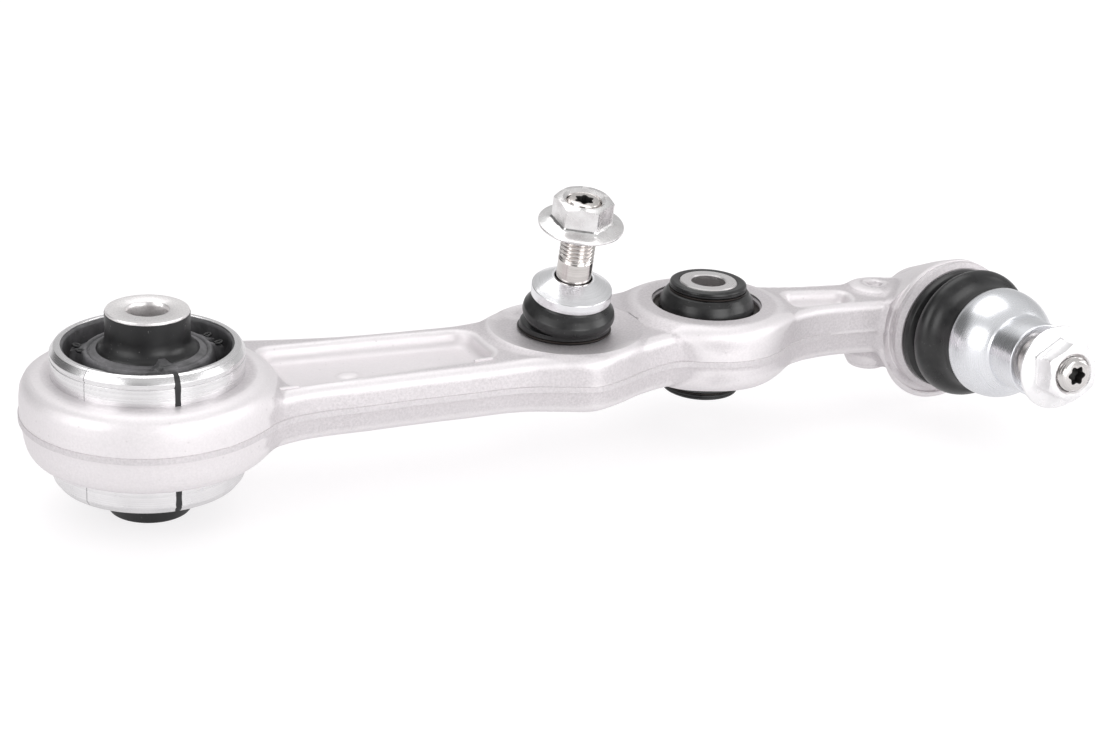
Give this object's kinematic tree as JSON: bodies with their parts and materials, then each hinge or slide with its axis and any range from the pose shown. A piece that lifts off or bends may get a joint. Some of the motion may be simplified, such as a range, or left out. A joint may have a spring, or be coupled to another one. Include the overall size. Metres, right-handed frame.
{
  "type": "control arm",
  "caption": "Forged aluminium suspension control arm with a hydraulic bush, a ball sleeve, a link ball joint and an outer ball joint.",
  "frame": {"origin": "middle of the main bush's bore", "axes": "+Z along the bush bores, +X from the main bush towards the outer ball joint; the outer stud points along -Y"},
  "size_m": [0.3635, 0.1425, 0.0959],
  "materials": {
    "forged_aluminium": "blasted forging skin, fine matte grain",
    "turned_aluminium": "lathe turned, fine rings",
    "polished_collar": "polished dome",
    "plated_steel": "bright zinc plate",
    "stud_steel": "ground and plated steel",
    "black_rubber": "satin moulded rubber",
    "bearing_plastic": "natural acetal",
    "spring_wire": "dark spring steel"
  },
  "bodies": {
    "arm": {"arm_forging": "forged_aluminium", "main_outer_can": "turned_aluminium", "main_channel_ring": "bearing_plastic", "main_rubber_spring": "black_rubber", "mid_cartridge_ring": "turned_aluminium", "mid_bearing_shell": "bearing_plastic", "mid_upper_closing_ring": "plated_steel", "mid_lower_closing_ring": "plated_steel", "link_bearing_shell": "bearing_plastic", "link_closing_plate": "turned_aluminium", "link_boot_base_ring": "spring_wire", "outer_bearing_shell": "bearing_plastic", "outer_closing_ring": "plated_steel", "outer_boot_base_ring": "spring_wire"},
    "main_core": {"main_inner_sleeve": "turned_aluminium", "main_sleeve_coating": "black_rubber", "main_travel_stop": "bearing_plastic"},
    "mid_swivel": {"mid_upper_boot": "black_rubber", "mid_lower_boot": "black_rubber"},
    "mid_sleeve": {"mid_ball_sleeve": "stud_steel", "mid_upper_clamp_ring": "spring_wire", "mid_lower_clamp_ring": "spring_wire"},
    "link_swivel": {"link_boot": "black_rubber"},
    "link_tilt": {"link_cone_washer": "turned_aluminium", "link_boot_top_ring": "spring_wire"},
    "link_stud": {"link_ball_stud": "stud_steel"},
    "link_nut": {"link_flange_nut": "plated_steel"},
    "outer_swivel": {"outer_boot": "black_rubber"},
    "outer_tilt": {"outer_dome_collar": "polished_collar", "outer_boot_top_ring": "spring_wire"},
    "outer_stud": {"outer_ball_stud": "stud_steel"},
    "outer_nut": {"outer_flange_nut": "plated_steel"}
  },
  "joints": [
    {"name": "main_bush_torsion", "type": "hinge", "parent": "arm", "child": "main_core", "pos_m": [0, 0, 0], "axis": [0, 0, 1], "range_deg": [-15, 15], "stiffness_Nm_per_rad": 2},
    {"name": "mid_sleeve_turn", "type": "hinge", "parent": "arm", "child": "mid_swivel", "pos_m": [0.2049, 0, 0], "axis": [0, 0, 1], "continuous": true},
    {"name": "mid_sleeve_tilt", "type": "hinge", "parent": "mid_swivel", "child": "mid_sleeve", "pos_m": [0.2049, 0, 0], "axis": [1, 0, 0], "range_deg": [-10, 10], "deforming": ["mid_upper_boot", "mid_lower_boot"]},
    {"name": "link_stud_swivel", "type": "hinge", "parent": "arm", "child": "link_swivel", "pos_m": [0.1471, -0.0012, 0], "axis": [0, 0, 1], "continuous": true},
    {"name": "link_stud_tilt", "type": "hinge", "parent": "link_swivel", "child": "link_tilt", "pos_m": [0.1471, -0.0012, 0], "axis": [0.9931, -0.1177, 0], "range_deg": [-31, 10], "deforming": ["link_boot"]},
    {"name": "link_stud_spin", "type": "hinge", "parent": "link_tilt", "child": "link_stud", "pos_m": [0.1471, -0.0012, 0], "axis": [-0.022, -0.1856, 0.9824], "continuous": true},
    {"name": "link_nut_travel", "type": "slide", "parent": "link_stud", "child": "link_nut", "axis": [-0.022, -0.1856, 0.9824], "range_m": [-0.008, 0.0115]},
    {"name": "outer_stud_swivel", "type": "hinge", "parent": "arm", "child": "outer_swivel", "pos_m": [0.2978, -0.008, 0], "axis": [0, -1, 0], "continuous": true},
    {"name": "outer_stud_tilt", "type": "hinge", "parent": "outer_swivel", "child": "outer_tilt", "pos_m": [0.2978, -0.008, 0], "axis": [-0.8268, 0, -0.5625], "range_deg": [-30, 13], "deforming": ["outer_boot"]},
    {"name": "outer_stud_spin", "type": "hinge", "parent": "outer_tilt", "child": "outer_stud", "pos_m": [0.2978, -0.008, 0], "axis": [-0.083, -0.9891, 0.122], "continuous": true},
    {"name": "outer_nut_travel", "type": "slide", "parent": "outer_stud", "child": "outer_nut", "axis": [-0.083, -0.9891, 0.122], "range_m": [-0.0075, 0.0128]}
  ]
}
